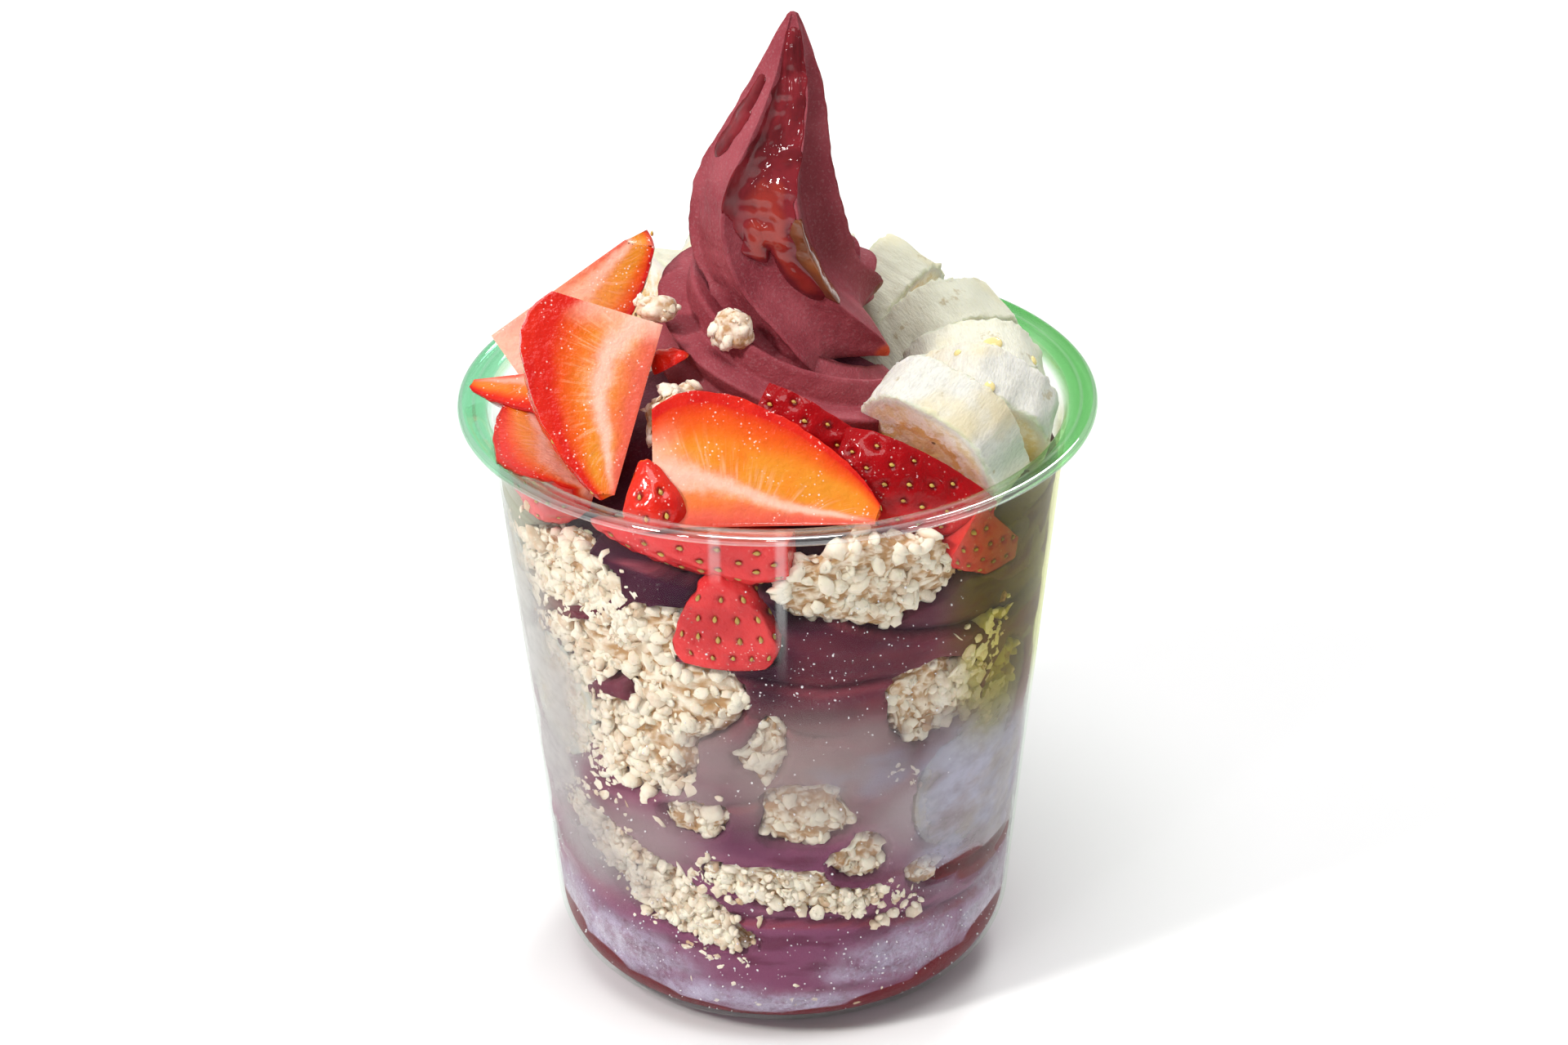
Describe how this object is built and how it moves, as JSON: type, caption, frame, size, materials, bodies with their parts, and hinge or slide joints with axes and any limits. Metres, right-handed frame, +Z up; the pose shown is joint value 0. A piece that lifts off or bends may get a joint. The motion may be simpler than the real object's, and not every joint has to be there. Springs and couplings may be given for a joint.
{
  "type": "acai bowl",
  "caption": "Clear flared tub filled with acai soft serve that rises to a drawn-out peak, with granola, strawberry wedges and banana slices in and on it.",
  "frame": {"origin": "centre of the bounding box at the foot of the tub", "axes": "+Z up along the tub's axis, -Y towards the front, +X to the right seen from the front"},
  "size_m": [0.098, 0.098, 0.1582],
  "materials": {
    "cup": "clear, thin, glossy plastic with a faint green tint at the edge",
    "acai": "food: smooth frozen acai, maroon to purple, satin, glossy where syrup runs",
    "strawberry": "food: wet cut strawberry, orange-red flesh with a pale core, red skin with seeds",
    "banana": "food: peeled banana, fibrous white sides and a cream cut face",
    "granola": "food: dry toasted oat clusters, rough"
  },
  "bodies": {
    "root": {"cup": "cup", "strawberry_front": "strawberry", "strawberry_front_left": "strawberry", "strawberry_back_left": "strawberry", "strawberry_over_rim": "strawberry", "strawberry_left_edge": "strawberry", "strawberry_gap": "strawberry", "strawberry_swirl_side": "strawberry", "strawberry_right": "strawberry", "strawberry_wall_right": "strawberry", "strawberry_wall_cone": "strawberry", "strawberry_wall_front": "strawberry", "strawberry_wall_back": "strawberry", "strawberry_bit": "strawberry", "banana_1": "banana", "banana_2": "banana", "banana_3": "banana", "banana_4": "banana", "banana_5": "banana", "banana_6": "banana", "banana_7": "banana", "banana_8": "banana", "banana_wall_left": "banana", "banana_wall_left_top": "banana", "banana_wall_right": "banana", "banana_wall_back": "banana", "granola_front_right": "granola", "granola_right": "granola", "granola_left_top": "granola", "granola_left_heap": "granola", "granola_chip_middle": "granola", "granola_chip_left": "granola", "granola_centre": "granola", "granola_centre_low": "granola", "granola_band_left": "granola", "granola_band_centre": "granola", "granola_right_back": "granola", "granola_right_low": "granola", "granola_right_brown": "granola", "granola_back_right": "granola", "granola_back_low": "granola", "granola_back_left": "granola", "granola_band_back": "granola", "granola_left_low": "granola", "granola_crumb_left": "granola", "granola_crumb_middle": "granola", "granola_crumb_low": "granola", "granola_between": "granola", "acai": "acai"}
  },
  "joints": []
}
